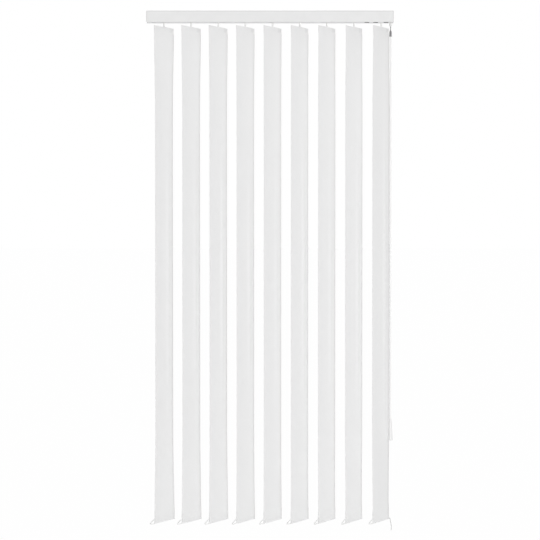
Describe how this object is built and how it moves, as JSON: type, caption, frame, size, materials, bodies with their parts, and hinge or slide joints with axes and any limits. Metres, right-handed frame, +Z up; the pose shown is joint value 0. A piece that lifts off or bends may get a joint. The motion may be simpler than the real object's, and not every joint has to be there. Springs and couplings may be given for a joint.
{
  "type": "vertical blind",
  "caption": "Vertical blind: long cloth vanes on geared carriers under a ceiling rail, turned by a hanging wand and drawn to one side.",
  "frame": {"origin": "middle of the rail's top face, which lies on the ceiling, halfway between the two mounting clips", "axes": "+X along the rail towards the wand, -Y towards the room, +Z up"},
  "size_m": [1.2024, 0.1784, 2.545],
  "materials": {
    "rail_paint": "white powder coat, satin",
    "cap_plastic": "satin",
    "clip_steel": "zinc plated",
    "pad_dark": "foam, dull",
    "rod_metal": "mill finish",
    "carrier_plastic": "moulded",
    "gear_plastic": "moulded",
    "stem_plastic": "moulded, slightly milky",
    "vane_cloth": "stiffened plain-weave cloth",
    "weight_plastic": "moulded",
    "chain_plastic": "moulded",
    "hook_steel": "bent wire",
    "ferrule_dark": "moulded",
    "wand_white": "extruded"
  },
  "bodies": {
    "rail": {"head_rail": "rail_paint", "end_cap_left": "cap_plastic", "end_cap_right": "cap_plastic", "mounting_clips": "clip_steel", "rail_pads": "pad_dark", "carrier_1": "carrier_plastic"},
    "carrier_2": {"carrier_2": "carrier_plastic"},
    "carrier_3": {"carrier_3": "carrier_plastic"},
    "carrier_4": {"carrier_4": "carrier_plastic"},
    "carrier_5": {"carrier_5": "carrier_plastic"},
    "carrier_6": {"carrier_6": "carrier_plastic"},
    "carrier_7": {"carrier_7": "carrier_plastic"},
    "carrier_8": {"carrier_8": "carrier_plastic"},
    "carrier_9": {"carrier_9": "carrier_plastic"},
    "rod": {"tilt_rod": "rod_metal"},
    "worm_1": {"worm_1": "gear_plastic"},
    "worm_2": {"worm_2": "gear_plastic"},
    "worm_3": {"worm_3": "gear_plastic"},
    "worm_4": {"worm_4": "gear_plastic"},
    "worm_5": {"worm_5": "gear_plastic"},
    "worm_6": {"worm_6": "gear_plastic"},
    "worm_7": {"worm_7": "gear_plastic"},
    "worm_8": {"worm_8": "gear_plastic"},
    "worm_9": {"worm_9": "gear_plastic", "drive_gear": "gear_plastic"},
    "vane_1": {"stem_1": "stem_plastic", "vane_1": "vane_cloth", "weight_1": "weight_plastic"},
    "vane_2": {"stem_2": "stem_plastic", "vane_2": "vane_cloth", "weight_2": "weight_plastic"},
    "vane_3": {"stem_3": "stem_plastic", "vane_3": "vane_cloth", "weight_3": "weight_plastic"},
    "vane_4": {"stem_4": "stem_plastic", "vane_4": "vane_cloth", "weight_4": "weight_plastic"},
    "vane_5": {"stem_5": "stem_plastic", "vane_5": "vane_cloth", "weight_5": "weight_plastic"},
    "vane_6": {"stem_6": "stem_plastic", "vane_6": "vane_cloth", "weight_6": "weight_plastic"},
    "vane_7": {"stem_7": "stem_plastic", "vane_7": "vane_cloth", "weight_7": "weight_plastic"},
    "vane_8": {"stem_8": "stem_plastic", "vane_8": "vane_cloth", "weight_8": "weight_plastic"},
    "vane_9": {"stem_9": "stem_plastic", "vane_9": "vane_cloth", "weight_9": "weight_plastic", "chain_tail": "chain_plastic"},
    "wand_stem": {"wand_stem": "stem_plastic"},
    "wand": {"wand_hook": "hook_steel", "wand_ferrule": "ferrule_dark", "wand_rod": "wand_white", "wand_grip": "wand_white"}
  },
  "joints": [
    {"name": "traverse", "type": "slide", "parent": "rail", "child": "carrier_9", "axis": [-1, 0, 0], "range_m": [0, 0.848]},
    {"name": "carrier_2_slide", "type": "slide", "parent": "rail", "child": "carrier_2", "axis": [-1, 0, 0], "range_m": [0, 0.106]},
    {"name": "carrier_3_slide", "type": "slide", "parent": "rail", "child": "carrier_3", "axis": [-1, 0, 0], "range_m": [0, 0.212]},
    {"name": "carrier_4_slide", "type": "slide", "parent": "rail", "child": "carrier_4", "axis": [-1, 0, 0], "range_m": [0, 0.318]},
    {"name": "carrier_5_slide", "type": "slide", "parent": "rail", "child": "carrier_5", "axis": [-1, 0, 0], "range_m": [0, 0.424]},
    {"name": "carrier_6_slide", "type": "slide", "parent": "rail", "child": "carrier_6", "axis": [-1, 0, 0], "range_m": [0, 0.53]},
    {"name": "carrier_7_slide", "type": "slide", "parent": "rail", "child": "carrier_7", "axis": [-1, 0, 0], "range_m": [0, 0.636]},
    {"name": "carrier_8_slide", "type": "slide", "parent": "rail", "child": "carrier_8", "axis": [-1, 0, 0], "range_m": [0, 0.742]},
    {"name": "tilt", "type": "hinge", "parent": "rail", "child": "vane_1", "pos_m": [-0.515, 0, 0], "axis": [0, 0, 1], "range_deg": [-35, 105]},
    {"name": "vane_2_turn", "type": "hinge", "parent": "carrier_2", "child": "vane_2", "pos_m": [-0.383, 0, 0], "axis": [0, 0, 1], "range_deg": [-35, 105]},
    {"name": "vane_3_turn", "type": "hinge", "parent": "carrier_3", "child": "vane_3", "pos_m": [-0.251, 0, 0], "axis": [0, 0, 1], "range_deg": [-35, 105]},
    {"name": "vane_4_turn", "type": "hinge", "parent": "carrier_4", "child": "vane_4", "pos_m": [-0.119, 0, 0], "axis": [0, 0, 1], "range_deg": [-35, 105]},
    {"name": "vane_5_turn", "type": "hinge", "parent": "carrier_5", "child": "vane_5", "pos_m": [0.013, 0, 0], "axis": [0, 0, 1], "range_deg": [-35, 105]},
    {"name": "vane_6_turn", "type": "hinge", "parent": "carrier_6", "child": "vane_6", "pos_m": [0.145, 0, 0], "axis": [0, 0, 1], "range_deg": [-35, 105]},
    {"name": "vane_7_turn", "type": "hinge", "parent": "carrier_7", "child": "vane_7", "pos_m": [0.277, 0, 0], "axis": [0, 0, 1], "range_deg": [-35, 105]},
    {"name": "vane_8_turn", "type": "hinge", "parent": "carrier_8", "child": "vane_8", "pos_m": [0.409, 0, 0], "axis": [0, 0, 1], "range_deg": [-35, 105]},
    {"name": "vane_9_turn", "type": "hinge", "parent": "carrier_9", "child": "vane_9", "pos_m": [0.541, 0, 0], "axis": [0, 0, 1], "range_deg": [-35, 105]},
    {"name": "worm_1_spin", "type": "hinge", "parent": "rail", "child": "worm_1", "pos_m": [-0.515, 0.009, -0.0375], "axis": [1, 0, 0], "range_deg": [-350, 1050]},
    {"name": "worm_2_spin", "type": "hinge", "parent": "carrier_2", "child": "worm_2", "pos_m": [-0.383, 0.009, -0.0375], "axis": [1, 0, 0], "range_deg": [-350, 1050]},
    {"name": "worm_3_spin", "type": "hinge", "parent": "carrier_3", "child": "worm_3", "pos_m": [-0.251, 0.009, -0.0375], "axis": [1, 0, 0], "range_deg": [-350, 1050]},
    {"name": "worm_4_spin", "type": "hinge", "parent": "carrier_4", "child": "worm_4", "pos_m": [-0.119, 0.009, -0.0375], "axis": [1, 0, 0], "range_deg": [-350, 1050]},
    {"name": "worm_5_spin", "type": "hinge", "parent": "carrier_5", "child": "worm_5", "pos_m": [0.013, 0.009, -0.0375], "axis": [1, 0, 0], "range_deg": [-350, 1050]},
    {"name": "worm_6_spin", "type": "hinge", "parent": "carrier_6", "child": "worm_6", "pos_m": [0.145, 0.009, -0.0375], "axis": [1, 0, 0], "range_deg": [-350, 1050]},
    {"name": "worm_7_spin", "type": "hinge", "parent": "carrier_7", "child": "worm_7", "pos_m": [0.277, 0.009, -0.0375], "axis": [1, 0, 0], "range_deg": [-350, 1050]},
    {"name": "worm_8_spin", "type": "hinge", "parent": "carrier_8", "child": "worm_8", "pos_m": [0.409, 0.009, -0.0375], "axis": [1, 0, 0], "range_deg": [-350, 1050]},
    {"name": "worm_9_spin", "type": "hinge", "parent": "carrier_9", "child": "worm_9", "pos_m": [0.541, 0.009, -0.0375], "axis": [1, 0, 0], "range_deg": [-350, 1050]},
    {"name": "rod_spin", "type": "hinge", "parent": "rail", "child": "rod", "pos_m": [0, 0.009, -0.0375], "axis": [1, 0, 0], "range_deg": [-350, 1050]},
    {"name": "wand_twist", "type": "hinge", "parent": "carrier_9", "child": "wand_stem", "pos_m": [0.586, 0, 0], "axis": [0, 0, 1], "range_deg": [-350, 1050]},
    {"name": "wand_swing", "type": "hinge", "parent": "wand_stem", "child": "wand", "pos_m": [0.586, 0, -0.076], "axis": [0, -1, 0], "range_deg": [0, 40]}
  ],
  "couplings": [
    {"joint": "carrier_2_slide", "follows": "traverse", "ratio": 0.125},
    {"joint": "carrier_3_slide", "follows": "traverse", "ratio": 0.25},
    {"joint": "carrier_4_slide", "follows": "traverse", "ratio": 0.375},
    {"joint": "carrier_5_slide", "follows": "traverse", "ratio": 0.5},
    {"joint": "carrier_6_slide", "follows": "traverse", "ratio": 0.625},
    {"joint": "carrier_7_slide", "follows": "traverse", "ratio": 0.75},
    {"joint": "carrier_8_slide", "follows": "traverse", "ratio": 0.875},
    {"joint": "vane_2_turn", "follows": "tilt", "ratio": 1},
    {"joint": "vane_3_turn", "follows": "tilt", "ratio": 1},
    {"joint": "vane_4_turn", "follows": "tilt", "ratio": 1},
    {"joint": "vane_5_turn", "follows": "tilt", "ratio": 1},
    {"joint": "vane_6_turn", "follows": "tilt", "ratio": 1},
    {"joint": "vane_7_turn", "follows": "tilt", "ratio": 1},
    {"joint": "vane_8_turn", "follows": "tilt", "ratio": 1},
    {"joint": "vane_9_turn", "follows": "tilt", "ratio": 1},
    {"joint": "worm_1_spin", "follows": "tilt", "ratio": 10},
    {"joint": "worm_2_spin", "follows": "tilt", "ratio": 10},
    {"joint": "worm_3_spin", "follows": "tilt", "ratio": 10},
    {"joint": "worm_4_spin", "follows": "tilt", "ratio": 10},
    {"joint": "worm_5_spin", "follows": "tilt", "ratio": 10},
    {"joint": "worm_6_spin", "follows": "tilt", "ratio": 10},
    {"joint": "worm_7_spin", "follows": "tilt", "ratio": 10},
    {"joint": "worm_8_spin", "follows": "tilt", "ratio": 10},
    {"joint": "worm_9_spin", "follows": "tilt", "ratio": 10},
    {"joint": "rod_spin", "follows": "tilt", "ratio": 10},
    {"joint": "wand_twist", "follows": "tilt", "ratio": 10}
  ]
}
